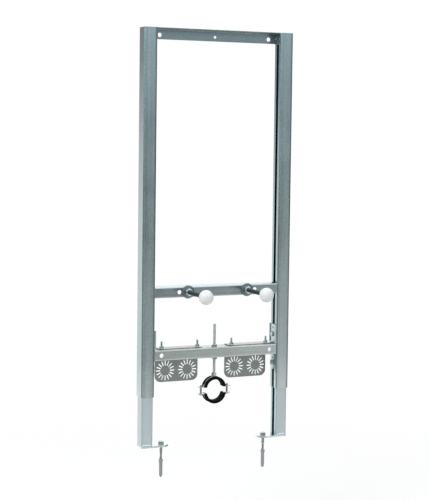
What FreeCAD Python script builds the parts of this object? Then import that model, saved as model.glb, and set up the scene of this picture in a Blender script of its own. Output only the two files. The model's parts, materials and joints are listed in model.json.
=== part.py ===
import FreeCAD, Part
import math
import os

os.makedirs("parts", exist_ok=True)

# All sizes are in millimetres. Heights are measured up from the underside of the feet.
# X runs across the frame, and Y runs back to the wall: the wall plane is Y = 0.

# whole frame
overall_height = 1160.0
overall_width = 450.0
clearance = 0.3
thread_gap = 0.05

# lipped channel of the uprights
section_width = 38.0
section_depth = 42.0
section_sheet = 2.0
section_bend = 4.0
slot_width = 14.4
upright_bottom = 142.0

# telescopic legs, the same channel one size smaller
leg_gap = 0.6
leg_sheet = 2.0
leg_bend = 3.0
leg_top = 400.0

# foot plates and floor anchors
foot_thickness = 5.0
foot_depth = 40.0
foot_overhang = 49.5
foot_hole_radius = 4.5
anchor_radius = 4.0
anchor_flange_radius = 8.5
anchor_flange_thickness = 1.6
anchor_head_across = 13.0
anchor_head_height = 5.5
anchor_end = -72.0
plug_radius = 5.0
plug_top = -37.0
plug_length = 52.0
plug_collar_radius = 6.0
plug_collar_height = 8.0
plug_collar_taper = 5.0
plug_mouth_radius = 4.6
plug_nose = 6.0

# both cross rails
rail_height = 30.0
rail_sheet = 2.0
rail_bend = 4.0

# top rail, an angle with its web against the wall
top_rail_depth = 38.0
wall_hole_drop = 18.0
wall_hole_radius = 6.0
wall_hole_inset = 21.0
centre_hole_radius = 4.0
end_tab_length = 33.0
end_tab_corner = 8.0
end_tab_hole_radius = 3.5
end_tab_hole_drop = 14.5
end_tab_hole_offset = 11.5

# stud rail, studs, washers, nuts and protective balls
stud_rail_height = 432.0
stud_spacing = 180.0
outer_hole_spacing = 230.0
outer_hole_radius = 6.0
stud_radius = 6.0
stud_root_radius = 5.5
stud_washer_radius = 18.5
stud_washer_thickness = 3.0
stud_nut_across = 19.0
stud_nut_height = 10.0
ball_radius = 20.0
ball_reach = 131.0
ball_bore_end = 8.0

# traverse between the uprights
traverse_height = 257.0
traverse_depth = 39.7
traverse_hole_inset = 18.5
traverse_hole_radius = 6.0
flange_hole_radius = 2.5
flange_hole_x = 32.0
flange_hole_depth = 7.0
rod_line = 24.0

# brackets that carry the traverse on the slots of the uprights
bracket_below = 61.0
bracket_above = 70.0
bracket_sheet = 2.5
bracket_reach = 5.0
bracket_depth = 37.0
bracket_tongue_depth = 25.0
bracket_bolt_offset = 41.5
bracket_hole_offsets = (59.0, -27.5)
bracket_hole_radius = 2.5
bolt_radius = 4.0
bolt_head_across = 13.0
bolt_head_height = 5.3
slot_nut_depth = 22.0
slot_nut_height = 20.0
slot_nut_thickness = 6.0

# plates with two punched patterns each
plate_side_gap = 16.0
plate_width = 129.5
plate_drop = 82.0
plate_sheet = 2.0
plate_corner = 18.0
plate_hook_depth = 34.0
plate_notch_width = 29.0
plate_notch_rise = 9.0
plate_notch_corner = 4.0
pattern_spacing = 66.6
pattern_drop = 50.0
pattern_slots = 16
pattern_inner_radius = 14.0
pattern_outer_radius = 28.0
pattern_slot_width = 3.2
plate_screw_spacing = 107.5
plate_screw_radius = 3.0
plate_screw_rise = 37.0
plate_screw_head = 4.0
plate_nut_across = 10.0
plate_nut_height = 7.5
plate_nut_flange_radius = 6.5
plate_nut_flange = 1.5

# pipe clamp on its threaded rod
rod_radius = 4.0
rod_rise = 79.0
rod_nut_across = 13.0
rod_nut_height = 6.5
clamp_drop = 108.5
clamp_bore_radius = 25.0
lining_thickness = 4.5
lining_outer_radius = 33.5
lining_depth = 22.0
band_sheet = 2.5
band_depth = 13.0
clamp_shift = 5.0
half_ring_trim = 3.5
ear_reach = 48.0
ear_sheet = 2.5
ear_screw_reach = 40.0
ear_screw_radius = 3.0
ear_screw_head_radius = 5.0
ear_screw_head_height = 4.0
ear_screw_end = 4.0
boss_across = 13.0
flat_to_lips = 30.0
boss_rise = 44.0

half_width = overall_width / 2
inner_face = half_width - section_width
mid_depth = -section_depth / 2
front_plane = -section_depth
leg_inset = section_sheet + leg_gap
leg_width = section_width - 2 * leg_inset
leg_depth = section_depth - 2 * leg_inset
foot_tip = inner_face - foot_overhang
anchor_reach = foot_tip + foot_depth / 2
wall_hole_height = overall_height - wall_hole_drop
wall_hole_reach = inner_face - wall_hole_inset
end_tab_bottom = overall_height - end_tab_length
traverse_half = inner_face - bracket_sheet
traverse_hole_reach = traverse_half - traverse_hole_inset
traverse_top = traverse_height + rail_height / 2
bracket_bottom = traverse_height - bracket_below
bracket_top = traverse_height + bracket_above
bracket_bolt_heights = (traverse_height - bracket_bolt_offset, traverse_height + bracket_bolt_offset)
plate_centre = inner_face - plate_side_gap - plate_width / 2
plate_bottom = traverse_height - plate_drop
plate_screw_lines = [-plate_centre + way * plate_screw_spacing / 2 for way in (-1, 1)]
clamp_height = traverse_height - clamp_drop
band_radius = clamp_bore_radius + lining_thickness


def vec(x, y, z):
    return FreeCAD.Vector(x, y, z)


def cylinder(radius, length, start, direction):
    return Part.makeCylinder(radius, length, start, direction)


def block(low, high):
    size = [b - a for a, b in zip(low, high)]
    return Part.makeBox(size[0], size[1], size[2], vec(*low))


def hexagon(across, height, start, direction):
    """A hexagonal prism of a given width across the flats that grows from a point along a direction."""
    radius = across / math.sqrt(3)
    angles = [math.radians(30 + 60 * n) for n in range(7)]
    ring = Part.makePolygon([vec(radius * math.cos(a), radius * math.sin(a), 0) for a in angles])
    prism = Part.Face(ring).extrude(vec(0, 0, height))
    prism.Placement = FreeCAD.Placement(start, FreeCAD.Rotation(vec(0, 0, 1), direction))
    return prism


def nut(across, height, bore, start, direction):
    return hexagon(across, height, start, direction).cut(cylinder(bore, height, start, direction))


def ring(outer, inner, height, start, direction):
    return cylinder(outer, height, start, direction).cut(cylinder(inner, height, start, direction))


def rounded(x0, y0, x1, y1, radius, length):
    """A bar along Z with a rectangular section and rounded edges."""
    bar = Part.makeBox(x1 - x0, y1 - y0, length, vec(x0, y0, 0))
    upright_edges = [e for e in bar.Edges if abs(e.Vertexes[0].Z - e.Vertexes[1].Z) > length / 2]
    return bar.makeFillet(radius, upright_edges)


def lipped_channel(deep, across, sheet, bend, slot, length):
    """A rolled channel along Z: web on the plane X = 0, open along a slot at X = deep, centred on Y = 0."""
    outside = rounded(0, -across / 2, deep, across / 2, bend, length)
    inside = rounded(sheet, sheet - across / 2, deep - sheet, across / 2 - sheet, bend - sheet, length)
    mouth = block((deep - 2 * sheet, -slot / 2, 0), (deep, slot / 2, length))
    return outside.cut(inside).cut(mouth)


def open_channel(deep, across, sheet, bend, length):
    """A U-shaped channel along Z: web on the plane X = 0, legs back to X = deep, centred on Y = 0."""
    far = deep + 4 * bend
    half = across / 2
    outside = rounded(0, -half, far, half, bend, length)
    inside = rounded(sheet, sheet - half, far + sheet, half - sheet, bend - sheet, length)
    return outside.cut(inside).common(block((0, -half, 0), (deep, half, length)))


def lay_across(shape, start_x, front_y, centre_z):
    """Lays a channel along X with its web to the front."""
    turn = FreeCAD.Rotation(vec(1, 1, 1), 120)
    shape.Placement = FreeCAD.Placement(vec(start_x, front_y, centre_z), turn)
    return shape


def to_side(shape, side):
    """Moves a shape drawn for the left half to the side asked for."""
    return shape if side == "left" else shape.mirror(vec(0, 0, 0), vec(1, 0, 0))


def save(name, shape):
    """Writes one node, moved so that the origin is the middle of the row of wall holes."""
    solid = shape.removeSplitter().copy()
    solid.translate(vec(0, 0, -wall_hole_height))
    solid.exportStep("parts/" + name + ".step")


def end_tab_holes(start_x, length):
    """The two holes through an end tab of the top rail and the lips of the upright behind it."""
    holes = []
    for way in (-1, 1):
        start = vec(start_x, mid_depth + way * end_tab_hole_offset, overall_height - end_tab_hole_drop)
        holes.append(cylinder(end_tab_hole_radius, length, start, vec(1, 0, 0)))
    return holes


def upright():
    length = overall_height - upright_bottom
    shape = lipped_channel(
        section_width, section_depth, section_sheet, section_bend, slot_width, length
    )
    shape.translate(vec(-half_width, mid_depth, upright_bottom))
    for hole in end_tab_holes(-inner_face - 2 * section_sheet, 4 * section_sheet):
        shape = shape.cut(hole)
    return shape


def leg():
    shape = lipped_channel(leg_width, leg_depth, leg_sheet, leg_bend, slot_width, leg_top - foot_thickness)
    shape.translate(vec(leg_inset - half_width, mid_depth, foot_thickness))
    return shape


def foot_plate():
    half = foot_depth / 2
    bar = block(
        (leg_inset - half_width, mid_depth - half, 0), (-anchor_reach, mid_depth + half, foot_thickness)
    )
    tip = cylinder(half, foot_thickness, vec(-anchor_reach, mid_depth, 0), vec(0, 0, 1))
    hole = cylinder(foot_hole_radius, foot_thickness, vec(-anchor_reach, mid_depth, 0), vec(0, 0, 1))
    return bar.fuse(tip).cut(hole)


def anchor_screw():
    """The floor screw: hexagonal head on a flange that rests on the foot, shank down into the plug."""
    seat = vec(-anchor_reach, mid_depth, foot_thickness)
    up = vec(0, 0, 1)
    shank = cylinder(anchor_radius, foot_thickness - anchor_end, seat, vec(0, 0, -1))
    flange = cylinder(anchor_flange_radius, anchor_flange_thickness, seat, up)
    head = hexagon(anchor_head_across, anchor_flange_thickness + anchor_head_height, seat, up)
    return shank.fuse(flange).fuse(head)


def anchor_plug():
    top = vec(-anchor_reach, mid_depth, plug_top)
    down = vec(0, 0, -1)
    taper = Part.makeCone(plug_mouth_radius, plug_collar_radius, plug_collar_taper, top, down)
    collar_start = vec(-anchor_reach, mid_depth, plug_top - plug_collar_taper)
    collar = cylinder(plug_collar_radius, plug_collar_height - plug_collar_taper, collar_start, down)
    body_start = vec(-anchor_reach, mid_depth, plug_top - plug_collar_taper / 2)
    body_length = plug_length - plug_nose - plug_collar_taper / 2
    body = cylinder(plug_radius, body_length, body_start, down)
    nose_start = vec(-anchor_reach, mid_depth, plug_top - plug_length + plug_nose)
    nose = Part.makeCone(plug_radius, plug_radius / 2, plug_nose, nose_start, down)
    bore = cylinder(anchor_radius + thread_gap, plug_top - anchor_end, top, down)
    return taper.fuse(collar).fuse(body).fuse(nose).cut(bore)


def top_rail():
    """An angle with its web and holes on the wall plane, its flange on top and a tab on each upright."""
    length = 2 * inner_face
    far = 4 * rail_height
    outside = rounded(-far, -far, 0, 0, rail_bend, length)
    inside = rounded(-2 * far, -2 * far, -rail_sheet, -rail_sheet, rail_bend - rail_sheet, length)
    limits = block((-top_rail_depth, -rail_height, 0), (0, 0, length))
    bar = lay_across(outside.cut(inside).common(limits), -inner_face, 0, overall_height)
    for side in (-1, 1):
        xs = sorted((side * inner_face, side * (inner_face - rail_sheet)))
        tab = block(
            (xs[0], -top_rail_depth, end_tab_bottom), (xs[1], -rail_sheet, overall_height - rail_sheet)
        )
        low_edges = [
            e
            for e in tab.Edges
            if abs(e.Vertexes[0].X - e.Vertexes[1].X) > rail_sheet / 2
            and e.Vertexes[0].Z < end_tab_bottom + clearance
        ]
        tab = tab.makeFillet(end_tab_corner, low_edges)
        for hole in end_tab_holes(xs[0] - rail_sheet, 3 * rail_sheet):
            tab = tab.cut(hole)
        bar = bar.fuse(tab)
    back = vec(0, 1, 0)
    for x, radius in (
        (-wall_hole_reach, wall_hole_radius),
        (0, centre_hole_radius),
        (wall_hole_reach, wall_hole_radius),
    ):
        bar = bar.cut(cylinder(radius, 3 * rail_sheet, vec(x, -2 * rail_sheet, wall_hole_height), back))
    return bar


def cross_rail(length, depth, height, holes):
    """A channel across the frame, open to the wall, with round holes in its front web."""
    bar = lay_across(
        open_channel(depth, rail_height, rail_sheet, rail_bend, length),
        -length / 2,
        front_plane,
        height,
    )
    for x, radius in holes:
        start = vec(x, front_plane - rail_sheet, height)
        bar = bar.cut(cylinder(radius, 3 * rail_sheet, start, vec(0, 1, 0)))
    return bar


def stud_rail():
    holes = [(x * stud_spacing / 2, stud_root_radius + clearance) for x in (-1, 1)]
    holes += [(x * outer_hole_spacing / 2, outer_hole_radius) for x in (-1, 1)]
    return cross_rail(2 * inner_face, section_depth, stud_rail_height, holes)


def traverse():
    """The sliding rail. The rod passes through both flanges and the plate screws through the top one,
    which has one small hole of its own near its rear edge."""
    holes = [(x * traverse_hole_reach, traverse_hole_radius) for x in (-1, 1)]
    bar = cross_rail(2 * traverse_half, traverse_depth, traverse_height, holes)
    for x in plate_screw_lines:
        for way in (-1, 1):
            start = vec(way * x, -rod_line, traverse_top - 2 * rail_sheet)
            bar = bar.cut(cylinder(plate_screw_radius + clearance, 3 * rail_sheet, start, vec(0, 0, 1)))
    start = vec(flange_hole_x, -flange_hole_depth, traverse_top - 2 * rail_sheet)
    bar = bar.cut(cylinder(flange_hole_radius, 3 * rail_sheet, start, vec(0, 0, 1)))
    middle = vec(0, -rod_line, traverse_height - rail_height)
    return bar.cut(cylinder(rod_radius + clearance, 2 * rail_height, middle, vec(0, 0, 1)))


def stud():
    """Threaded stud: waisted where the nuts and the ball grip it, full size between them."""
    front = front_plane - stud_washer_thickness - stud_nut_height
    rear = front_plane + rail_sheet + stud_nut_height
    ball_back = front_plane - ball_reach + math.sqrt(ball_radius**2 - stud_radius**2)
    tip = front_plane - ball_reach - ball_bore_end
    forward = vec(0, -1, 0)
    x = -stud_spacing / 2
    root = cylinder(stud_root_radius, rear - tip, vec(x, rear, stud_rail_height), forward)
    shank = cylinder(stud_radius, front - ball_back, vec(x, front, stud_rail_height), forward)
    return root.fuse(shank)


def stud_washer():
    start = vec(-stud_spacing / 2, front_plane, stud_rail_height)
    return ring(stud_washer_radius, stud_radius, stud_washer_thickness, start, vec(0, -1, 0))


def stud_nut(front):
    if front:
        start = vec(-stud_spacing / 2, front_plane - stud_washer_thickness, stud_rail_height)
        return nut(stud_nut_across, stud_nut_height, stud_root_radius, start, vec(0, -1, 0))
    start = vec(-stud_spacing / 2, front_plane + rail_sheet, stud_rail_height)
    return nut(stud_nut_across, stud_nut_height, stud_root_radius, start, vec(0, 1, 0))


def ball_cap():
    centre = vec(-stud_spacing / 2, front_plane - ball_reach, stud_rail_height)
    ball = Part.makeSphere(ball_radius, centre)
    back = math.sqrt(ball_radius**2 - stud_radius**2)
    mouth = cylinder(stud_radius, ball_radius, centre + vec(0, back, 0), vec(0, 1, 0))
    bore_start = centre - vec(0, ball_bore_end, 0)
    bore = cylinder(stud_root_radius, ball_bore_end + ball_radius, bore_start, vec(0, 1, 0))
    return ball.cut(mouth).cut(bore)


def traverse_bracket():
    """A pressed plate on the upright's inner face: flanged above the traverse, a round tongue below it."""
    half = bracket_depth / 2
    tongue = bracket_tongue_depth / 2
    plate_x = bracket_sheet - inner_face
    flange_x = bracket_reach - inner_face
    gap = rail_height / 2 + plate_sheet + clearance
    outer = block((-inner_face, mid_depth - half, bracket_bottom), (flange_x, mid_depth + half, bracket_top))
    hollow = block(
        (plate_x, mid_depth - half + bracket_sheet, bracket_bottom),
        (flange_x, mid_depth + half - bracket_sheet, bracket_top),
    )
    window = block(
        (plate_x, mid_depth - section_depth, bracket_bottom),
        (flange_x, mid_depth + section_depth, traverse_height + gap),
    )
    shape = outer.cut(hollow).cut(window)
    for way in (-1, 1):
        ys = sorted((mid_depth + way * tongue, mid_depth + way * section_depth))
        waste = block(
            (-inner_face, ys[0], bracket_bottom), (flange_x, ys[1], traverse_height - rail_height / 2)
        )
        shape = shape.cut(waste)
    low_edges = [
        e
        for e in shape.Edges
        if abs(e.Vertexes[0].X - e.Vertexes[-1].X) > bracket_sheet / 2
        and max(v.Z for v in e.Vertexes) < bracket_bottom + clearance
    ]
    shape = shape.makeFillet(tongue - clearance, low_edges)
    holes = [(height, bolt_radius + clearance) for height in bracket_bolt_heights]
    holes += [(traverse_height + offset, bracket_hole_radius) for offset in bracket_hole_offsets]
    for height, radius in holes:
        start = vec(-inner_face - bracket_sheet, mid_depth, height)
        shape = shape.cut(cylinder(radius, 3 * bracket_sheet, start, vec(1, 0, 0)))
    return shape


def bracket_bolt(height):
    """Hexagonal bolt from the bracket through both slots into the slot nut inside the leg."""
    seat = bracket_sheet - inner_face
    end = leg_inset + leg_sheet + clearance + slot_nut_thickness
    start = vec(seat, mid_depth, height)
    shank = cylinder(bolt_radius, bracket_sheet + end, start, vec(-1, 0, 0))
    head = hexagon(bolt_head_across, bolt_head_height, start, vec(1, 0, 0))
    return shank.fuse(head)


def slot_nut(height):
    face = -inner_face - leg_inset - leg_sheet - clearance
    plate = block(
        (face - slot_nut_thickness, mid_depth - slot_nut_depth / 2, height - slot_nut_height / 2),
        (face, mid_depth + slot_nut_depth / 2, height + slot_nut_height / 2),
    )
    start = vec(face + slot_nut_thickness / 2, mid_depth, height)
    return plate.cut(cylinder(bolt_radius, 2 * slot_nut_thickness, start, vec(-1, 0, 0)))


def tap_plate():
    """Punched plate behind the traverse. Its top edge hooks over the rail, where two screws hold it.
    A notch in its outer edge keeps the way through the traverse's hole clear."""
    low_x = -plate_centre - plate_width / 2
    high_x = -plate_centre + plate_width / 2
    sheet = block((low_x, -plate_sheet, plate_bottom), (high_x, 0, traverse_top + plate_sheet))
    lower = [
        e
        for e in sheet.Edges
        if abs(e.Vertexes[0].Y - e.Vertexes[1].Y) > plate_sheet / 2
        and e.Vertexes[0].Z < plate_bottom + clearance
    ]
    sheet = sheet.makeFillet(plate_corner, lower)
    hook = block((low_x, -plate_hook_depth, traverse_top), (high_x, 0, traverse_top + plate_sheet))
    shape = sheet.fuse(hook)
    notch = block(
        (low_x, -3 * plate_sheet, traverse_height - rail_height / 2),
        (low_x + plate_notch_width, plate_sheet, traverse_height + plate_notch_rise),
    )
    inner_edges = [
        e
        for e in notch.Edges
        if abs(e.Vertexes[0].Y - e.Vertexes[1].Y) > plate_sheet / 2
        and e.Vertexes[0].X > low_x + plate_sheet
    ]
    cuts = [notch.makeFillet(plate_notch_corner, inner_edges)]
    for centre_x in (-plate_centre - pattern_spacing / 2, -plate_centre + pattern_spacing / 2):
        for n in range(pattern_slots):
            bar = rounded(
                pattern_inner_radius,
                -pattern_slot_width / 2,
                pattern_outer_radius,
                pattern_slot_width / 2,
                pattern_slot_width * 0.49,
                3 * plate_sheet,
            )
            bar.rotate(vec(0, 0, 0), vec(0, 0, 1), 360.0 * n / pattern_slots)
            bar.rotate(vec(0, 0, 0), vec(1, 0, 0), 90)
            bar.translate(vec(centre_x, plate_sheet, traverse_height - pattern_drop))
            cuts.append(bar)
    for x in plate_screw_lines:
        start = vec(x, -rod_line, traverse_top - plate_sheet)
        cuts.append(cylinder(plate_screw_radius + clearance, 3 * plate_sheet, start, vec(0, 0, 1)))
    return shape.cut(Part.makeCompound(cuts))


def plate_screw(x):
    """Hexagonal screw with its head inside the traverse and its end standing up above the nut."""
    seat = vec(x, -rod_line, traverse_top - rail_sheet)
    length = traverse_height + plate_screw_rise - seat.z
    shank = cylinder(plate_screw_radius, length, seat, vec(0, 0, 1))
    return shank.fuse(hexagon(plate_nut_across, plate_screw_head, seat, vec(0, 0, -1)))


def plate_nut(x):
    start = vec(x, -rod_line, traverse_top + plate_sheet)
    up = vec(0, 0, 1)
    flange = ring(plate_nut_flange_radius, plate_screw_radius, plate_nut_flange, start, up)
    return flange.fuse(nut(plate_nut_across, plate_nut_height, plate_screw_radius, start, up))


def half_ring(outer, inner, depth, way):
    """A trimmed half ring round an axis along Y, above (way 1) or below (way -1) the middle of the clamp."""
    full = ring(outer, inner, depth, vec(0, -rod_line - depth / 2, 0), vec(0, 1, 0))
    wide = 2 * outer
    zs = sorted((way * half_ring_trim, way * wide))
    half = full.common(block((-wide, -rod_line - depth, zs[0]), (wide, depth - rod_line, zs[1])))
    half.translate(vec(0, 0, clamp_height + way * clamp_shift))
    return half


def clamp_band(way):
    """Steel half band with a flat ear at each end. The upper one carries the boss of the threaded rod."""
    outer = band_radius + band_sheet
    parting = clamp_height + way * (clamp_shift + half_ring_trim)
    shape = half_ring(outer, band_radius + thread_gap, band_depth, way)
    for side in (-1, 1):
        xs = sorted((side * (band_radius + band_sheet / 2), side * ear_reach))
        zs = sorted((parting, parting + way * ear_sheet))
        ear = block(
            (xs[0], -rod_line - band_depth / 2, zs[0]), (xs[1], -rod_line + band_depth / 2, zs[1])
        )
        hole_start = vec(side * ear_screw_reach, -rod_line, parting - 2 * ear_sheet)
        ear = ear.cut(cylinder(ear_screw_radius + clearance, 4 * ear_sheet, hole_start, vec(0, 0, 1)))
        shape = shape.fuse(ear)
    if way > 0:
        centre = clamp_height + clamp_shift
        rise = band_radius + band_sheet / 2
        boss_start = vec(0, -rod_line, centre + rise)
        boss = hexagon(boss_across, boss_rise - rise, boss_start, vec(0, 0, 1))
        boss.rotate(boss_start, vec(0, 0, 1), flat_to_lips)
        shape = shape.fuse(boss)
        shape = shape.cut(cylinder(rod_radius, boss_rise, vec(0, -rod_line, centre + outer), vec(0, 0, 1)))
    return shape


def clamp_lining(way):
    """Rubber half ring with a groove round its outside that holds the steel band between two lips."""
    body = half_ring(lining_outer_radius, clamp_bore_radius, lining_depth, way)
    return body.cut(half_ring(2 * lining_outer_radius, band_radius, band_depth, way))


def clamp_screw():
    """Ear screw with a round head below the lower ear and its end above the upper one."""
    reach = clamp_shift + half_ring_trim + ear_sheet
    start = vec(-ear_screw_reach, -rod_line, clamp_height - reach)
    shank = cylinder(ear_screw_radius, 2 * reach + ear_screw_end, start, vec(0, 0, 1))
    return shank.fuse(cylinder(ear_screw_head_radius, ear_screw_head_height, start, vec(0, 0, -1)))


def clamp_rod():
    bottom = clamp_height + clamp_shift + band_radius + band_sheet
    length = traverse_height + rod_rise - bottom
    return cylinder(rod_radius, length, vec(0, -rod_line, bottom), vec(0, 0, 1))


def rod_nut(way):
    start = vec(0, -rod_line, traverse_height + way * rail_height / 2)
    return nut(rod_nut_across, rod_nut_height, rod_radius + thread_gap, start, vec(0, 0, way))


for side in ("left", "right"):
    save(side + "_upright", to_side(upright(), side))
    save(side + "_leg", to_side(leg(), side))
    save(side + "_foot_plate", to_side(foot_plate(), side))
    save(side + "_anchor_screw", to_side(anchor_screw(), side))
    save(side + "_anchor_plug", to_side(anchor_plug(), side))
    save(side + "_stud", to_side(stud(), side))
    save(side + "_stud_washer", to_side(stud_washer(), side))
    save(side + "_front_nut", to_side(stud_nut(True), side))
    save(side + "_rear_nut", to_side(stud_nut(False), side))
    save(side + "_ball_cap", to_side(ball_cap(), side))
    save(side + "_traverse_bracket", to_side(traverse_bracket(), side))
    for place, height in zip(("lower", "upper"), bracket_bolt_heights):
        save(side + "_" + place + "_bracket_bolt", to_side(bracket_bolt(height), side))
        save(side + "_" + place + "_slot_nut", to_side(slot_nut(height), side))
    save(side + "_tap_plate", to_side(tap_plate(), side))
    for place, x in zip(("outer", "inner"), plate_screw_lines):
        save(side + "_" + place + "_plate_screw", to_side(plate_screw(x), side))
        save(side + "_" + place + "_plate_nut", to_side(plate_nut(x), side))
    save(side + "_clamp_screw", to_side(clamp_screw(), side))

save("top_rail", top_rail())
save("stud_rail", stud_rail())
save("traverse", traverse())
save("clamp_rod", clamp_rod())
for place, way in (("upper", 1), ("lower", -1)):
    save("rod_" + place + "_nut", rod_nut(way))
    save(place + "_clamp_band", clamp_band(way))
    save(place + "_clamp_lining", clamp_lining(way))
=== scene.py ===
import json
import math

import bmesh
import bpy
from mathutils import Matrix, Vector

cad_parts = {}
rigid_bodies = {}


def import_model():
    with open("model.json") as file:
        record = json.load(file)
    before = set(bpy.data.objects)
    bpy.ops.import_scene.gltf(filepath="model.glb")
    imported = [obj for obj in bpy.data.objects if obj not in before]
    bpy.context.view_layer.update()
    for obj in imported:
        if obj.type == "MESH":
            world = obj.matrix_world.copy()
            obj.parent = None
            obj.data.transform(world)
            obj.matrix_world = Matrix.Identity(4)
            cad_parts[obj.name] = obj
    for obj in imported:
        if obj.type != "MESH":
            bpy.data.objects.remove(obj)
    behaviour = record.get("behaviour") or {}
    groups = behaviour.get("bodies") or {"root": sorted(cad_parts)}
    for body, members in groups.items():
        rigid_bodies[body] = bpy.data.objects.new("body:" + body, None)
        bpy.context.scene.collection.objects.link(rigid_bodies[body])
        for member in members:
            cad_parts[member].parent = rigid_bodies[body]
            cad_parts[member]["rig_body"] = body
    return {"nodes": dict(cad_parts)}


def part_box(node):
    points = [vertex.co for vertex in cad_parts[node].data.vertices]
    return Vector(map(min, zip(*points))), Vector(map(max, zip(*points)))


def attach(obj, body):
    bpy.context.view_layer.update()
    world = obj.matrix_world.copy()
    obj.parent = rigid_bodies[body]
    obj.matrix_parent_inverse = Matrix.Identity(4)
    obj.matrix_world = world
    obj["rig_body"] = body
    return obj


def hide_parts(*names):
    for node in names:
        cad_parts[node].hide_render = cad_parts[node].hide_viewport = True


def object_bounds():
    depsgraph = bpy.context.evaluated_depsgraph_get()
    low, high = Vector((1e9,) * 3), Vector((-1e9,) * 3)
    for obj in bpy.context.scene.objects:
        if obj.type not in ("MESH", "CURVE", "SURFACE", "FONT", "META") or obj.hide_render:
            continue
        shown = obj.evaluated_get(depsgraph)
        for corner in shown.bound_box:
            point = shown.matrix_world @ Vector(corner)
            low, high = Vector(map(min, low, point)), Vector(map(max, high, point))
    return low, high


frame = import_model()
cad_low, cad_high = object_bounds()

# Meshes are drawn in millimetres, in their own frame, and scaled to metres when they are placed.
MILLIMETRE = 0.001
ON_AXIS = 1e-4  # a smaller radius is a point on the axis
SIDES = ("left", "right")
UP = (0, 0, 1)
FRONT = (0, -1, 0)
BACK = (0, 1, 0)
nodes = frame["nodes"]

# The floor lies just below the fully drawn-out legs.
LEG_TRAVEL = 180.0
FLOOR_GAP = 2.0
FLOOR_LEVEL = cad_low.z - (LEG_TRAVEL + FLOOR_GAP) * MILLIMETRE

# Fasteners, as standard sizes in millimetres
M12 = {"major": 6.0, "minor": 5.15, "pitch": 1.75}
M8 = {"major": 4.0, "minor": 3.4, "pitch": 1.25}
M6 = {"major": 3.0, "minor": 2.45, "pitch": 1.0}
WOOD_THREAD = {"major": 3.95, "minor": 2.75, "pitch": 3.6}
STUD_NUT_ACROSS = 19.0
ROD_NUT_ACROSS = 13.0
PLATE_NUT_ACROSS = 10.0
PLATE_NUT_FLANGE = (6.5, 1.5)
PLATE_SCREW_HEAD = 4.0
BOLT_ACROSS = 13.0
BOLT_HEAD = 5.3
ANCHOR_ACROSS = 13.0
ANCHOR_HEAD = 7.1
ANCHOR_FLANGE = (8.5, 1.6)
ANCHOR_SHANK = 24.0
EAR_HEAD = (5.0, 4.0)
CHAMFER_SLOPE = math.tan(math.radians(30))
CROWN_SHARE = 0.475  # radius of a hexagon's round face, as a share of its width across flats

# Pipe clamp, in millimetres
LINING_INNER = 25.0
LINING_GROOVE = 29.5
LINING_TRIM = 3.5
LIP_LAPS = (0.8, 4.6)
BAND_DEPTH = 13.0
BAND_OUTER = 32.0
EAR_TOP = 6.0
BOSS_REACH = 7.6
RIB_COUNT = 5


class Nodes:
    """A node tree under construction: short calls that add nodes and join them."""

    def __init__(self, tree):
        self.tree = tree
        tree.nodes.clear()

    def add(self, kind, **settings):
        node = self.tree.nodes.new("ShaderNode" + kind)
        for name, value in settings.items():
            setattr(node, name, value)
        return node

    def put(self, socket, value):
        """Sets a socket to a constant, or joins it to another node's socket."""
        if isinstance(value, bpy.types.NodeSocket):
            self.tree.links.new(value, socket)
        else:
            socket.default_value = value

    def math(self, operation, a, b):
        node = self.add("Math", operation=operation)
        self.put(node.inputs[0], a)
        self.put(node.inputs[1], b)
        return node.outputs["Value"]

    def spread(self, value, low, high, from_low=0.0, from_high=1.0):
        """Maps a value from one range to another."""
        node = self.add("MapRange")
        self.put(node.inputs["Value"], value)
        for socket, number in (
            ("From Min", from_low),
            ("From Max", from_high),
            ("To Min", low),
            ("To Max", high),
        ):
            node.inputs[socket].default_value = number
        return node.outputs["Result"]

    def ramp(self, value, stops):
        node = self.add("ValToRGB")
        self.put(node.inputs["Fac"], value)
        while len(node.color_ramp.elements) < len(stops):
            node.color_ramp.elements.new(0.5)
        for element, (position, colour) in zip(node.color_ramp.elements, stops):
            element.position = position
            element.color = (*colour, 1.0)
        return node.outputs["Color"]

    def mix(self, factor, first, second):
        """Mixes two shaders."""
        node = self.add("MixShader")
        self.put(node.inputs["Fac"], factor)
        self.put(node.inputs[1], first)
        self.put(node.inputs[2], second)
        return node.outputs["Shader"]


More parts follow.
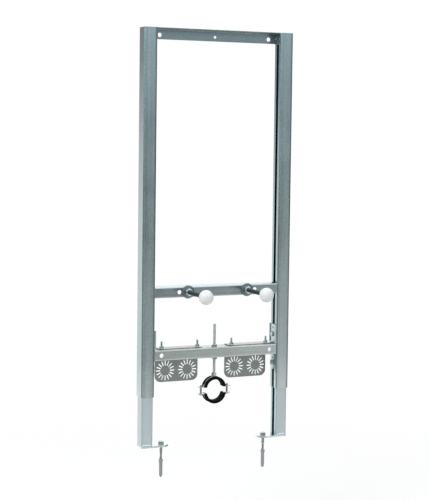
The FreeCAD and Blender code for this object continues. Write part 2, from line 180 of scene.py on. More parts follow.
class Surface(Nodes):
    """A material with one principled shader and procedural patterns in the object's own space."""

    def __init__(self, name):
        self.material = bpy.data.materials.new(name)
        self.material.use_nodes = True
        super().__init__(self.material.node_tree)
        self.output = self.add("OutputMaterial")
        self.surface = self.add("BsdfPrincipled")
        self.put(self.output.inputs["Surface"], self.surface.outputs["BSDF"])

    def place(self, stretch=(1, 1, 1)):
        mapping = self.add("Mapping")
        self.put(mapping.inputs["Vector"], self.add("TexCoord").outputs["Object"])
        mapping.inputs["Scale"].default_value = stretch
        return mapping.outputs["Vector"]

    def noise(self, scale, stretch=(1, 1, 1), detail=3.0):
        node = self.add("TexNoise")
        self.put(node.inputs["Vector"], self.place(stretch))
        node.inputs["Scale"].default_value = scale
        node.inputs["Detail"].default_value = detail
        return node.outputs["Fac"]

    def cells(self, scale):
        """One random grey per cell, as the crystals of a zinc coating have."""
        node = self.add("TexVoronoi")
        self.put(node.inputs["Vector"], self.place())
        node.inputs["Scale"].default_value = scale
        grey = self.add("SeparateColor")
        self.put(grey.inputs["Color"], node.outputs["Color"])
        return grey.outputs["Red"]

    def box_share(self, axis):
        """0 to 1 along one axis of the object's own bounding box."""
        spot = self.add("SeparateXYZ")
        self.put(spot.inputs[0], self.add("TexCoord").outputs["Generated"])
        return spot.outputs[axis]

    def inner_side(self):
        """1 on the inner faces of a folded channel and 0 outside: painted shade inside the channel.
        """
        depths = []
        for axis in "XY":
            from_middle = self.math("SUBTRACT", self.box_share(axis), 0.5)
            depths.append(self.math("SUBTRACT", 0.5, self.math("ABSOLUTE", from_middle, 0.0)))
        return self.spread(self.math("MINIMUM", *depths), 0.0, 1.0, 0.015, 0.04)

    def bend_shade(self):
        """0 to 1 along the bends of an upright's front face, where painted shade stands for the
        dark they mirror.
        """
        stops = ((0.0, 0.0), (0.13, 0.0), (0.2, 0.4), (0.27, 0.0), (0.78, 0.0), (0.92, 1.0))
        greys = [(place, (grey, grey, grey)) for place, grey in stops]
        at_front = self.spread(self.box_share("Y"), 1.0, 0.0, 0.1, 0.16)
        return self.math("MULTIPLY", self.ramp(self.box_share("X"), greys), at_front)

    def top_side(self):
        """1 on the top flange of a rail and 0 on its face: where painted shade darkens the top."""
        return self.spread(self.box_share("Z"), 0.0, 1.0, 0.88, 0.96)

    def low_end(self):
        """1 at the lower end of an upright, fading out above it: where painted light brightens the
        colour.
        """
        return self.spread(self.box_share("Z"), 1.0, 0.0, 0.0, 0.1)

    def with_painted_light(self, colour, amount, light_factor):
        """The colour times a factor, where the amount is 1: painted shade below 1 and painted light
        above it.
        """
        node = self.add("MixRGB", blend_type="MULTIPLY")
        self.put(node.inputs["Fac"], amount)
        self.put(node.inputs["Color1"], colour)
        node.inputs["Color2"].default_value = (*light_factor, 1.0)
        return node.outputs["Color"]

    def bump(self, height, strength, distance):
        node = self.add("Bump")
        self.put(node.inputs["Height"], height)
        node.inputs["Strength"].default_value = strength
        node.inputs["Distance"].default_value = distance
        self.put(self.surface.inputs["Normal"], node.outputs["Normal"])

    def shade(self, **sockets):
        for name, value in sockets.items():
            self.put(self.surface.inputs[name.replace("_", " ")], value)


def tinted(colour, factor):
    """The colour, brighter or darker by a factor."""
    return tuple(min(1.0, c * factor) for c in colour)


def zinc_sheet(name, colour, roll, roughness=0.26, contrast=0.14, **painted_lights):
    """Galvanised sheet: faint crystals, fine and broad streaks along the rolled direction, clouds,
    and slight waves that bend what it mirrors. Each painted shade or painted light is named after
    the Surface call that finds its place."""
    s = Surface(name)
    along = {"x": (0.04, 1, 1), "z": (1, 1, 0.04)}[roll]
    shares = (
        (s.cells(170.0), 0.06),
        (s.noise(420.0, along, detail=5.0), 0.24),
        (s.noise(75.0, along, detail=2.0), 0.4),
        (s.noise(11.0), 0.3),
    )
    mix = 0.0
    for pattern, share in shares:
        mix = s.math("ADD", mix, s.math("MULTIPLY", pattern, share))
    low = tinted(colour, 1 - contrast)
    high = tinted(colour, 1 + contrast)
    zinc = s.ramp(mix, [(0.3, low), (0.5, colour), (0.7, high)])
    # Painted shade and painted light: each mask scales the zinc's colour by its factor.
    for part, light_factor in painted_lights.items():
        zinc = s.with_painted_light(zinc, getattr(s, part)(), light_factor)
    s.shade(
        Base_Color=zinc,
        Metallic=0.95,
        Roughness=s.spread(mix, roughness - 0.05, roughness + 0.05, 0.3, 0.7),
    )
    s.bump(s.noise(28.0, along, detail=1.0), 1.0, 0.0002)
    return s.material


def plated(name, colour, roughness=0.27, metallic=0.95):
    """Zinc-plated fastener: brighter than sheet and softly mottled."""
    s = Surface(name)
    mottle = s.noise(260.0, detail=4.0)
    s.shade(
        Base_Color=s.ramp(mottle, [(0.3, tinted(colour, 0.84)), (0.75, tinted(colour, 1.1))]),
        Metallic=metallic,
        Roughness=s.spread(mottle, roughness - 0.05, roughness + 0.09),
    )
    s.bump(s.noise(240.0, detail=1.0), 1.0, 0.00003)
    return s.material


def plastic(name, colour, roughness, drift, mould=40.0):
    """Moulded plastic: even colour with slow drifts and the fine texture of the mould."""
    s = Surface(name)
    stops = [(0.3, tinted(colour, 1 - drift)), (0.7, tinted(colour, 1 + drift * 0.3))]
    s.shade(
        Base_Color=s.ramp(s.noise(mould, detail=2.0), stops),
        Roughness=s.spread(s.noise(900.0), roughness - 0.05, roughness + 0.06),
        Specular_IOR_Level=0.4,
    )
    s.bump(s.noise(1500.0), 0.16, 0.0001)
    return s.material


def rubber(name, colour):
    """Extruded rubber: black with a dusty bloom and marks that run along the profile."""
    s = Surface(name)
    bloom = s.noise(120.0, detail=4.0)
    s.shade(
        Base_Color=s.ramp(bloom, [(0.35, tinted(colour, 0.75)), (0.75, tinted(colour, 1.7))]),
        Roughness=s.spread(bloom, 0.36, 0.5),
        Specular_IOR_Level=0.04,
    )
    s.bump(s.noise(1400.0, (1, 0.1, 1)), 0.3, 0.00012)
    return s.material


# Base colours and materials
STEEL = (0.45, 0.52, 0.53)
DULL = (0.46, 0.5, 0.485)
BRIGHT = (0.64, 0.71, 0.73)
materials = {
    "upright": zinc_sheet(
        "galvanised_upright",
        STEEL,
        "z",
        # Painted shade: the inside of the upright's channel is darkened.
        inner_side=(0.12, 0.7, 0.76),
        # Painted shade: dark lines along the bends of the front face.
        bend_shade=(0.58, 0.6, 0.61),
        # Painted light: the lower end of the upright is brightened, as if lit from the floor.
        low_end=(1.34, 1.29, 1.25),
    ),
    # Painted shade: the top rail's steel is a darker copy of the upright's, for the shade under its
    # flange.
    "top_rail": zinc_sheet("galvanised_top_rail_in_shade", tinted(STEEL, 0.68), "x"),
    "stud_rail": zinc_sheet("galvanised_stud_rail", tinted(STEEL, 0.8), "x"),
    "traverse": zinc_sheet(
        # Painted shade: the traverse's top flange is darkened.
        "galvanised_traverse", tinted(DULL, 1.14), "x", top_side=(0.62, 0.6, 0.6)
    ),
    "plate": zinc_sheet("galvanised_plate", (0.315, 0.335, 0.32), "x", roughness=0.4),
    "bracket": zinc_sheet("galvanised_bracket", tinted(STEEL, 1.2), "z"),
    "leg": zinc_sheet(
        # Painted shade: the inside of the leg's channel is darkened.
        "bright_leg", BRIGHT, "z", roughness=0.44, contrast=0.07, inner_side=(0.1, 0.6, 0.68)
    ),
    "foot": zinc_sheet("bright_foot", tinted(BRIGHT, 1.1), "x", contrast=0.08),
    "band": zinc_sheet("galvanised_band", (0.66, 0.68, 0.66), "x", contrast=0.08),
    "fastener": plated("zinc_fastener", (0.62, 0.70, 0.72)),
    "rod": plated("zinc_rod", (0.60, 0.65, 0.635), 0.36, metallic=0.4),
    "ear": plated("zinc_ear_screw", (0.42, 0.43, 0.42), 0.3, metallic=0.7),
    "anchor": plated("zinc_anchor_screw", (0.42, 0.45, 0.44), 0.24),
    "dark": plated("dark_stud", (0.055, 0.068, 0.07), 0.34),
    "washer": plated("dark_washer", (0.20, 0.25, 0.26), 0.3),
    "ball": plastic("white_plastic", (0.82, 0.825, 0.825), 0.4, 0.02),
    "plug": plastic("grey_plastic", (0.32, 0.35, 0.36), 0.5, 0.09, 120.0),
    "rubber": rubber("black_rubber", (0.003, 0.006, 0.0065)),
}

node_looks = {rail: rail for rail in ("top_rail", "stud_rail", "traverse")}
for side in SIDES:
    node_looks[side + "_upright"] = "upright"
    node_looks[side + "_leg"] = "leg"
    node_looks[side + "_foot_plate"] = "foot"
    node_looks[side + "_traverse_bracket"] = "bracket"
    node_looks[side + "_tap_plate"] = "plate"
for place in ("upper", "lower"):
    node_looks[place + "_clamp_band"] = "band"


def dress(obj, look):
    obj.data.materials.clear()
    obj.data.materials.append(materials[look])


def soften(obj, width):
    """Breaks the sheared edges of a plate a little, so that they catch the light."""
    bevel = obj.modifiers.new("soft_edges", "BEVEL")
    bevel.width = width * MILLIMETRE
    bevel.segments = 2
    bevel.limit_method = "ANGLE"
    bevel.angle_limit = math.radians(50)
    bevel.harden_normals = True


for name, obj in nodes.items():
    dress(obj, node_looks.get(name, "fastener"))


def turned(direction):
    """The rotation that takes +Z to one of the six directions along the axes."""
    if direction == UP:
        return Matrix.Identity(4)
    return Vector(direction).to_track_quat("Z", "Y").to_matrix().to_4x4()


def box_of(node):
    """A node's lowest and highest corners and its middle, in millimetres."""
    low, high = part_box(node)
    low = low / MILLIMETRE
    high = high / MILLIMETRE
    return low, high, (low + high) / 2


def add_piece(mesh, name, body, look, at=(0, 0, 0), direction=UP, sharp=32.0):
    """Places a mesh drawn along +Z in the frame and lets it ride on a body."""
    same_place = 0.002
    bmesh.ops.remove_doubles(mesh, verts=mesh.verts, dist=same_place)
    bmesh.ops.recalc_face_normals(mesh, faces=mesh.faces)
    data = bpy.data.meshes.new(name)
    mesh.to_mesh(data)
    mesh.free()
    for polygon in data.polygons:
        polygon.use_smooth = True
    data.set_sharp_from_angle(angle=math.radians(sharp))
    data.transform(Matrix.Scale(MILLIMETRE, 4) @ Matrix.Translation(at) @ turned(direction))
    obj = bpy.data.objects.new(name, data)
    bpy.context.scene.collection.objects.link(obj)
    dress(obj, look)
    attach(obj, body)
    return obj


def stand_in(mesh, node, look, at, direction=UP, sharp=32.0):
    """A detailed piece that stands for one CAD node and rides on its body."""
    body = nodes[node]["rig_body"]
    obj = add_piece(mesh, node + "_piece", body, look, at, direction, sharp)
    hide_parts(node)


def merged(mesh, other):
    """Adds the other mesh to the first one."""
    spare = bpy.data.meshes.new("spare")
    other.to_mesh(spare)
    other.free()
    mesh.from_mesh(spare)
    bpy.data.meshes.remove(spare)
    return mesh


def ring_of_points(mesh, radius, height, segments):
    """A level ring of points about Z, or one point on the axis for the whole ring."""
    if radius < ON_AXIS:
        return [mesh.verts.new((0, 0, height))] * segments
    angles = [2 * math.pi * n / segments for n in range(segments)]
    return [mesh.verts.new((radius * math.cos(a), radius * math.sin(a), height)) for a in angles]


def bridge(mesh, rows, closed):
    """Joins neighbouring rings of points with faces."""
    segments = len(rows[0])
    for low, high in zip(rows, rows[1:] + ([rows[0]] if closed else [])):
        for n in range(segments):
            m = (n + 1) % segments
            corners = list(dict.fromkeys((low[n], low[m], high[m], high[n])))
            if len(corners) > 2:
                mesh.faces.new(corners)


def lathe(outline, segments):
    """Revolves an outline of (radius, height) about Z. It closes on itself or ends on the axis."""
    mesh = bmesh.new()
    rows = [ring_of_points(mesh, radius, height, segments) for radius, height in outline]
    bridge(mesh, rows, closed=outline[0][0] > ON_AXIS)
    return mesh


def hexagonal(across, outline, segments=72):
    """Revolves an outline of (radius, height, way). Where a way is given, the point lies on the
    flats of a hexagon instead, and its corners are chamfered upwards (1), downwards (-1) or not
    (0)."""
    mesh = bmesh.new()
    crown = CROWN_SHARE * across
    rows = []
    for radius, height, way in outline:
        row = []
        for n in range(segments):
            angle = 2 * math.pi * n / segments
            reach = radius
            z = height
            if way is not None:
                off_flat = (angle + math.pi / 6) % (math.pi / 3) - math.pi / 6
                reach = across / 2 / math.cos(off_flat)
                z = height - way * max(0.0, reach - crown) * CHAMFER_SLOPE
            row.append(mesh.verts.new((reach * math.cos(angle), reach * math.sin(angle), z)))
        rows.append(row)
    bridge(mesh, rows, closed=True)
    return mesh


def flange_outline(across, flange):
    """The underside, rim and slope of a flange below a hexagon."""
    radius, height = flange
    return [
        (radius - 0.2, 0.0, None),
        (radius, 0.2, None),
        (radius, 0.5 * height, None),
        (0.5 * across + 0.8, height, None),
        (0, height, 0),
    ]


def nut_mesh(across, height, bore, flange=None):
    """Hexagon nut with a countersunk thread, chamfered at both ends, or above a flange."""
    crown = CROWN_SHARE * across
    sink = 0.5
    groove = 0.25
    turns = 6
    outline = [(bore, sink, None), (bore + sink, 0.0, None)]
    if flange:
        outline += flange_outline(across, flange)
    else:
        outline += [(crown, 0.0, None), (0, 0.0, -1)]
    outline += [(0, height, 1), (crown, height, None), (bore + sink, height, None)]
    for n in range(turns + 1):
        depth = groove if n % 2 else 0.0
        outline.append((bore + depth, height - sink - (height - 2 * sink) * n / turns, None))
    return hexagonal(across, outline)


def head_mesh(across, height, flange=None):
    """Hexagon head that grows up from its seat, chamfered and dished at the top."""
    crown = CROWN_SHARE * across
    dish = 0.4
    axis = 0.05
    outline = [(axis, 0.0, None)]
    if flange:
        outline += flange_outline(across, flange)
    else:
        outline += [(crown, 0.0, None), (0, 0.3, 0)]
    outline += [
        (0, height, 1),
        (crown, height, None),
        (0.68 * crown, height, None),
        (0.58 * crown, height - dish, None),
        (axis, height - dish, None),
    ]
    return hexagonal(across, outline)


def thread_mesh(size, length, start=0.0, run_out=0.9, segments=28, crest=0.22, root=0.22):
    """A helical thread about Z from a start height over a length, run out at both ends. Crest and
    root are the flat shares of one pitch."""
    speck = 0.004
    mesh = bmesh.new()
    major, minor, pitch = size["major"], size["minor"], size["pitch"]
    low = start
    high = start + length
    profile = [
        (0.0, minor),
        (root, minor),
        (0.5 + (root - crest) / 2, major),
        (0.5 + (root + crest) / 2, major),
    ]
    turns = math.ceil(length / pitch) + 2
    path = [(turn + share, radius) for turn in range(turns) for share, radius in profile]
    rows = []
    for share, radius in path:
        row = []
        for n in range(segments):
            angle = 2 * math.pi * n / segments
            z = low + (share - 1 + n / segments) * pitch
            inside = max(0.0, min(1.0, (z - low) / run_out, (high - z) / run_out))
            reach = min(radius, minor + (major - minor) * inside)
            z = min(max(z, low), high)
            row.append(mesh.verts.new((reach * math.cos(angle), reach * math.sin(angle), z)))
        rows.append(row)
    per_turn = len(profile)
    for k in range(len(rows) - 1):
        for n in range(segments - 1):
            mesh.faces.new((rows[k][n], rows[k][n + 1], rows[k + 1][n + 1], rows[k + 1][n]))
        if k + 1 + per_turn < len(rows):
            seam = (rows[k][-1], rows[k + per_turn][0], rows[k + 1 + per_turn][0], rows[k + 1][-1])
            mesh.faces.new(seam)
    bmesh.ops.remove_doubles(mesh, verts=mesh.verts, dist=speck)
    bmesh.ops.dissolve_degenerate(mesh, edges=mesh.edges, dist=speck)
    loose = [v for v in mesh.verts if not v.link_faces]
    bmesh.ops.delete(mesh, geom=loose, context="VERTS")
    open_edges = [e for e in mesh.edges if e.is_boundary]
    bmesh.ops.holes_fill(mesh, edges=open_edges, sides=0)
    return mesh


def set_camera():
    """The view fitted to the photograph."""
    data = bpy.data.cameras.new("camera")
    data.sensor_fit = "AUTO"
    data.sensor_width = 36.0
    data.lens = 94.3
    data.shift_y = -0.0735
    data.clip_start = 0.05
    data.clip_end = 60.0
    camera = bpy.data.objects.new("camera", data)
    bpy.context.scene.collection.objects.link(camera)
    right = Vector((0.918612, -0.394959, 0.012578))
    up = Vector((0.012824, 0.061611, 0.998018))
    rotation = Matrix((right, up, right.cross(up))).transposed().to_4x4()
    camera.matrix_world = Matrix.Translation((-1.45852, -3.39836, -0.26602)) @ rotation
    bpy.context.scene.camera = camera


def area_light(name, place, size, power, mirrored):
    """A rectangular light that points at the middle of the frame, and that metal may mirror."""
    aim = (0, 0, -0.6)
    data = bpy.data.lights.new(name, "AREA")
    data.shape = "RECTANGLE"
    data.size, data.size_y = size
    data.energy = power
    lamp = bpy.data.objects.new(name, data)
    bpy.context.scene.collection.objects.link(lamp)
    lamp.location = place
    lamp.rotation_euler = (Vector(aim) - Vector(place)).to_track_quat("-Z", "Y").to_euler()
    lamp.visible_glossy = mirrored


def set_world():
    """White for the camera and an even fill for plain surfaces. Metal mirrors a studio of panels,
    with dark bands at eye level on the camera's side and bright ones behind the frame and above."""
    world = bpy.data.worlds.new("studio")
    bpy.context.scene.world = world
    world.use_nodes = True
    w = Nodes(world.node_tree)
    direction = w.add("SeparateXYZ")
    w.put(direction.inputs[0], w.add("TexCoord").outputs["Generated"])
    x, y, z = (direction.outputs[axis] for axis in "XYZ")
    height = w.spread(z, 0.0, 1.0, -1.0, 1.0)

    def panel(strength, *stops):
        """Brightness from the ground to the zenith, as (height, grey, coolness)."""
        colours = [
            (place, ((1 - 0.3 * cool) * grey, (1 - 0.06 * cool) * grey, grey))
            for place, grey, cool in stops
        ]
        node = w.add("Background")
        w.put(node.inputs["Color"], w.ramp(height, colours))
        node.inputs["Strength"].default_value = strength
        return node.outputs[0]

    def plain(colour, strength):
        node = w.add("Background")
        node.inputs["Color"].default_value = (*colour, 1)
        node.inputs["Strength"].default_value = strength
        return node.outputs[0]

    front_left = panel(
        2.0, (0.3, 0.3, 0), (0.4, 0.23, 0), (0.42, 0.22, 0), (0.455, 0.04, 1), (0.5, 0.06, 1),
        (0.535, 0.45, 0.8), (0.62, 0.45, 0.6), (0.72, 1.0, 0.2),
    )
    front_right = panel(
        2.0, (0.3, 0.7, 0), (0.4, 0.7, 0), (0.43, 0.6, 0), (0.46, 0.055, 1), (0.5, 0.04, 1),
        (0.535, 0.45, 0.8), (0.62, 0.45, 0.6), (0.72, 1.0, 0.2),
    )
    front = w.mix(w.spread(x, 0.0, 1.0, 0.37, 0.46), front_left, front_right)
    left_flank = panel(
        1.0, (0.3, 0.7, 0), (0.43, 0.22, 0.5), (0.48, 0.06, 1), (0.55, 0.85, 1), (0.8, 0.9, 0.3),
    )
    right_flank = panel(
        1.0, (0.25, 0.4, 0), (0.36, 0.06, 1), (0.5, 0.02, 1), (0.57, 0.4, 1), (0.8, 0.9, 0.3),
    )
    rear_left = panel(
        1.2, (0.3, 0.85, 0), (0.47, 0.9, 0.1), (0.5, 0.65, 0.3), (0.53, 0.14, 0.4), (0.8, 0.7, 0),
    )
    rear_right = panel(
        3.4, (0.3, 0.33, 0), (0.42, 0.5, 0), (0.47, 0.08, 0), (0.52, 0.15, 0), (0.545, 0.6, 0),
        (0.57, 0.66, 0), (0.595, 0.2, 0), (0.66, 0.35, 0), (0.75, 0.8, 0),
    )
    camera_side = w.mix(w.spread(x, 0.0, 1.0, -0.3, 0.15), left_flank, front)
    behind = w.mix(w.spread(x, 0.0, 1.0, -0.2, 0.25), rear_left, rear_right)
    mirrored = w.mix(w.spread(y, 0.0, 1.0, 0.3, 0.75), camera_side, behind)
    mirrored = w.mix(w.spread(x, 0.0, 1.0, 0.56, 0.72), mirrored, right_flank)
    path = w.add("LightPath")
    lit = w.mix(path.outputs["Is Glossy Ray"], plain((0.96, 0.98, 1.0), 0.62), mirrored)
    clear = w.math("MAXIMUM", path.outputs["Is Camera Ray"], path.outputs["Is Transmission Ray"])
    w.put(w.add("OutputWorld").inputs["Surface"], w.mix(clear, lit, plain((1, 1, 1), 1.0)))


def set_floor():
    """A pale disc just below the fully drawn-out legs that fades into the white around it."""
    radius = 2.5
    s = Surface("pale_floor")
    reach = s.add("VectorMath", operation="LENGTH")
    s.put(reach.inputs[0], s.place())
    fade = s.spread(reach.outputs["Value"], 0.45, 1.0, 0.3, 1.6)
    s.shade(Base_Color=(1.0, 1.0, 1.0, 1), Roughness=0.9, Specular_IOR_Level=0.1)
    clear = s.add("BsdfTransparent").outputs["BSDF"]
    s.put(s.output.inputs["Surface"], s.mix(fade, s.surface.outputs["BSDF"], clear))
    mesh = bmesh.new()
    bmesh.ops.create_circle(mesh, cap_ends=True, segments=64, radius=radius)
    data = bpy.data.meshes.new("floor")
    mesh.to_mesh(data)
    mesh.free()
    data.materials.append(s.material)
    floor = bpy.data.objects.new("floor", data)
    floor.location = (0, 0, FLOOR_LEVEL)
    bpy.context.scene.collection.objects.link(floor)


set_camera()
set_world()
set_floor()
area_light("key", (-2.6, -1.2, 1.4), (1.8, 1.8), 55, mirrored=True)
area_light("fill", (2.4, -2.2, 0.6), (1.6, 2.0), 16, mirrored=False)
area_light("top", (0.0, 0.4, 2.6), (2.0, 2.0), 34, mirrored=False)
bpy.context.scene.view_settings.view_transform = "Standard"


def make_stud(side):
    """Threaded stud over its whole length."""
    node = side + "_stud"
    low, high, centre = box_of(node)
    mesh = thread_mesh(M12, high.y - low.y, run_out=1.2)
    stand_in(mesh, node, "dark", (centre.x, high.y, centre.z), FRONT)


def make_stud_nut(node, direction):
    low, high, centre = box_of(node)
    bore = M12["minor"] + 0.3
    mesh = nut_mesh(STUD_NUT_ACROSS, high.y - low.y, bore)
    seat = high.y if direction == FRONT else low.y
    stand_in(mesh, node, "fastener", (centre.x, seat, centre.z), direction)


def make_washer(side):
    """Large punched washer with rolled-over edges."""
    node = side + "_stud_washer"
    low, high, centre = box_of(node)
    thick = high.y - low.y
    outer = (high.x - low.x) / 2
    inner = M12["major"] + 0.2
    edge = 0.45
    half = [(inner, edge), (inner + edge, 0), (outer - edge, 0)]
    half += [(outer - 0.3 * edge, 0.3 * edge), (outer, edge)]
    outline = half + [(radius, thick - height) for radius, height in reversed(half)]
    stand_in(lathe(outline, 64), node, "washer", (centre.x, high.y, centre.z), FRONT)


def make_ball(side):
    """Protective ball with a faint mould line round its middle and a bore for the stud's end."""
    node = side + "_ball_cap"
    low, high, centre = box_of(node)
    radius = (high.z - low.z) / 2
    bore = M12["major"] + 0.05
    core = 0.9 * bore
    bore_end = -8.0
    step_depth = 2.0
    mould_line = 0.06
    mould_angle = 0.02
    mouth = math.acos(bore / radius)
    steps = 60
    outline = [(0.0, bore_end), (core, bore_end), (core, radius * math.sin(mouth) - step_depth)]
    for n in range(steps):
        angle = mouth - (mouth + math.pi / 2) * n / steps
        proud = mould_line if abs(angle) < mould_angle else 0.0
        outline.append((radius * math.cos(angle) + proud, radius * math.sin(angle)))
    outline.append((0.0, -radius))
    at = (centre.x, low.y + radius, centre.z)
    stand_in(lathe(outline, 72), node, "ball", at, BACK, sharp=50)


def make_anchor(side):
    """Flanged hexagon screw: smooth shank under the head, coarse wood thread down into the plug."""
    node = side + "_anchor_screw"
    low, high, centre = box_of(node)
    seat = high.z - ANCHOR_HEAD
    radius = WOOD_THREAD["major"] - 0.05
    core = WOOD_THREAD["minor"] + 0.1
    overlap = 0.3
    taper = 1.5
    mesh = head_mesh(ANCHOR_ACROSS, ANCHOR_HEAD, ANCHOR_FLANGE)
    shank = [(0.0, overlap), (radius, overlap), (radius, -ANCHOR_SHANK)]
    shank += [(core, -ANCHOR_SHANK - taper), (0.0, -ANCHOR_SHANK - taper)]
    merged(mesh, lathe(shank, 32))
    length = seat - low.z - ANCHOR_SHANK
    coarse = thread_mesh(
        WOOD_THREAD, length, low.z - seat, run_out=2.2, segments=32, crest=0.06, root=0.52
    )
    merged(mesh, coarse)
    stand_in(mesh, node, "anchor", (centre.x, centre.y, seat))


def make_plug(side):
    """Nylon plug: tapered mouth, saw-tooth rings down its shaft and a blunt nose."""
    node = side + "_anchor_plug"
    low, high, centre = box_of(node)
    length = high.z - low.z
    bore = 4.1
    bore_depth = 34.0
    mouth = 4.7
    collar = 6.0
    shaft = 5.0
    tooth_depth = 0.45
    tooth_pitch = 3.6
    nose = 8.0
    outline = [(0.0, -bore_depth), (bore, -bore_depth), (bore, -1.0), (bore + 0.25, 0.0)]
    outline += [(mouth, -0.1), (collar, -5.0), (collar, -8.0), (shaft, -8.5)]
    tooth = 11.0
    while tooth < length - nose:
        outline += [(shaft, -tooth), (shaft - tooth_depth, -tooth - 0.4), (shaft, -tooth - 3.2)]
        tooth += tooth_pitch
    outline += [(4.8, 5.5 - length), (2.6, 0.3 - length), (2.2, -length), (0.0, -length)]
    at = (centre.x, centre.y, high.z)
    stand_in(lathe(outline, 40), node, "plug", at)


def make_weld(side, place):
    """Fillet weld along the front or rear of a leg where it stands on its foot plate."""
    leg_low, leg_high, _ = box_of(side + "_leg")
    _, foot_high, _ = box_of(side + "_foot_plate")
    face = leg_low.y if place == "front" else leg_high.y
    way = -1 if place == "front" else 1
    inset = 2.5
    start = leg_low.x + inset
    length = leg_high.x - leg_low.x - 2 * inset
    rise = 3.8
    spread = 1.45
    sunk_side, sunk_foot = 0.25, 0.1
    steps = 72
    arc = 7
    mesh = bmesh.new()
    rows = []
    for n in range(steps + 1):
        share = n / steps
        x = start + length * share
        swell = min(1.0, 8 * share + 0.05, 8 * (1 - share) + 0.05) ** 0.5
        swell *= 1 + 0.07 * math.sin(44 * share) + 0.04 * math.sin(101 * share)
        row = [mesh.verts.new((x, face - sunk_side * way, foot_high.z - sunk_foot))]
        for k in range(arc):
            angle = math.pi / 2 * k / (arc - 1)
            y = face + way * spread * swell * math.cos(angle)
            z = foot_high.z + rise * swell * math.sin(angle)
            row.append(mesh.verts.new((x, y, z)))
        rows.append(row)
    bridge(mesh, rows, closed=False)
    mesh.faces.new(rows[0])
    mesh.faces.new(rows[-1])
    add_piece(mesh, f"{side}_{place}_foot_weld", side + "_leg", "foot", sharp=60)


def make_bracket_bolt(side, place):
    """Hexagon bolt whose head lies on the bracket, and whose plain shank ends in the slot nut."""
    node = f"{side}_{place}_bracket_bolt"
    low, high, centre = box_of(node)
    inward = 1 if side == "left" else -1
    tip = high.x if side == "left" else low.x
    length = high.x - low.x - BOLT_HEAD
    radius = M8["major"]
    point = radius - 0.7
    point_length = 0.8
    overlap = 0.2
    mesh = head_mesh(BOLT_ACROSS, BOLT_HEAD)
    shank = [(0.0, overlap), (radius, overlap), (radius, point_length - length)]
    shank += [(point, -length), (0.0, -length)]
    merged(mesh, lathe(shank, 32))
    at = (tip - inward * BOLT_HEAD, centre.y, centre.z)
    stand_in(mesh, node, "fastener", at, (inward, 0, 0))


def make_plate_screw(side, place):
    """Screw that stands up through a tap plate and the traverse, with its head below."""
    node = f"{side}_{place}_plate_screw"
    low, high, centre = box_of(node)
    seat = low.z + PLATE_SCREW_HEAD
    axis = 0.05
    crown = CROWN_SHARE * PLATE_NUT_ACROSS
    mesh = thread_mesh(M6, high.z - seat, segments=24)
    head = [
        (axis, 0.0, None),
        (crown, 0.0, None),
        (0, 0.0, 0),
        (0, -PLATE_SCREW_HEAD, -1),
        (crown, -PLATE_SCREW_HEAD, None),
        (axis, -PLATE_SCREW_HEAD, None),
    ]
    merged(mesh, hexagonal(PLATE_NUT_ACROSS, head, 48))
    stand_in(mesh, node, "fastener", (centre.x, centre.y, seat))


def make_plate_nut(side, place):
    node = f"{side}_{place}_plate_nut"
    low, high, centre = box_of(node)
    bore = M6["major"] - 0.05
    mesh = nut_mesh(PLATE_NUT_ACROSS, high.z - low.z, bore, PLATE_NUT_FLANGE)
    stand_in(mesh, node, "fastener", (centre.x, centre.y, low.z))


def make_clamp_rod():
    low, high, centre = box_of("clamp_rod")
    mesh = thread_mesh(M8, high.z - low.z, segments=24)
    stand_in(mesh, "clamp_rod", "rod", (centre.x, centre.y, low.z))


def make_rod_nut(place):
    node = f"rod_{place}_nut"
    low, high, centre = box_of(node)
    mesh = nut_mesh(ROD_NUT_ACROSS, high.z - low.z, M8["major"] - 0.05)
    stand_in(mesh, node, "fastener", (centre.x, centre.y, low.z))


def make_ear_screw(side):
    """Ear screw: domed head with a socket under the lower ear, threaded above it."""
    node = side + "_clamp_screw"
    low, high, centre = box_of(node)
    radius, height = EAR_HEAD
    rim = 1.3
    dome = 8
    socket = 1.4
    seat = low.z + height
    outline = [(0.0, 0.0), (radius - 0.3, 0.0), (radius, -0.4), (radius, -rim)]
    for n in range(1, dome):
        angle = math.pi / 2 * n / dome
        outline.append((radius * math.cos(angle), -rim - (height - rim) * math.sin(angle)))
    outline += [(0.9, 0.05 - height), (0.5, socket - height), (0.0, socket - height)]
    mesh = merged(lathe(outline, 40), thread_mesh(M6, high.z - seat, segments=24))
    stand_in(mesh, node, "ear", (centre.x, centre.y, seat))


def lip_share(angle, outer, boss):
    """1 where the lips lap over the band, 0 at the ears and beside the boss of the rod."""
    clear = 1.0
    fade = math.radians(5)
    from_ears = angle if angle < math.pi / 2 else math.pi - angle
    free = from_ears - math.asin((EAR_TOP + clear) / outer)
    if boss:
        free = min(free, math.pi / 2 - from_ears - math.asin((BOSS_REACH + clear) / outer))
    return max(0.0, min(1.0, free / fade)) ** 0.5


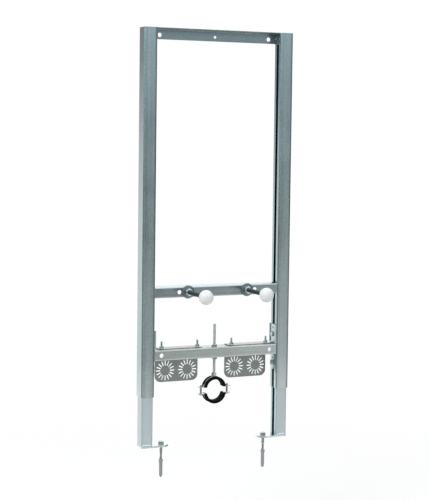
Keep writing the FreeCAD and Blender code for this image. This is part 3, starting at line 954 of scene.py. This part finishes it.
def lining_section(depth, outer, laps):
    """(depth, radius) points of the lining: lips that lap over the band outside and ribs towards
    the pipe."""
    half = depth / 2
    lip = 0.8
    lip_edge = 0.5
    over_band = BAND_OUTER + 0.06
    band = BAND_DEPTH / 2
    rib = ((0.42, 0.0), (0.28, 0.1), (0.12, 0.9), (-0.12, 0.9), (-0.28, 0.1), (-0.42, 0.0))
    front, rear = [
        [
            (-half, outer - lip),
            (-half + lip, outer),
            (lap - band - lip_edge, outer),
            (lap - band, outer - lip_edge),
            (lap - band, over_band),
            (-band, over_band),
            (-band, LINING_GROOVE),
        ]
        for lap in laps
    ]
    section = front + [(-y, radius) for y, radius in reversed(rear)]
    section.append((half, LINING_INNER + lip))
    pitch = depth / RIB_COUNT
    for n in range(RIB_COUNT):
        middle = half - (n + 0.5) * pitch
        section += [(middle + away * pitch, LINING_INNER + deep) for away, deep in rib]
    section.append((-half, LINING_INNER + lip))
    return section


def make_lining(place, way):
    """Half ring of ribbed rubber swept round the pipe's axis, cut flat at the clamp's parting."""
    node = place + "_clamp_lining"
    low, high, centre = box_of(node)
    depth = high.y - low.y
    outer = math.hypot((high.x - low.x) / 2, LINING_TRIM)
    axis_z = high.z - outer if way > 0 else low.z + outer
    steps = 72
    mesh = bmesh.new()
    rows = []
    for n in range(steps + 1):
        row = []
        share = lip_share(math.pi * n / steps, outer, boss=way > 0)
        for y, radius in lining_section(depth, outer, [share * lap for lap in LIP_LAPS]):
            start = math.asin(LINING_TRIM / radius)
            angle = start + (math.pi - 2 * start) * n / steps
            spot = (radius * math.cos(angle), y, way * radius * math.sin(angle))
            row.append(mesh.verts.new(spot))
        rows.append(row)
    bridge(mesh, rows, closed=False)
    mesh.faces.new(rows[0])
    mesh.faces.new(rows[-1])
    at = (centre.x, centre.y, axis_z)
    stand_in(mesh, node, "rubber", at, sharp=40)


for side in SIDES:
    make_stud(side)
    make_stud_nut(side + "_front_nut", FRONT)
    make_stud_nut(side + "_rear_nut", BACK)
    make_washer(side)
    make_ball(side)
    make_anchor(side)
    make_plug(side)
    for place in ("front", "rear"):
        make_weld(side, place)
    for place in ("lower", "upper"):
        make_bracket_bolt(side, place)
    for place in ("outer", "inner"):
        make_plate_screw(side, place)
        make_plate_nut(side, place)
    make_ear_screw(side)
    soften(nodes[side + "_foot_plate"], 0.5)
make_clamp_rod()
for place, way in (("upper", 1), ("lower", -1)):
    make_rod_nut(place)
    make_lining(place, way)
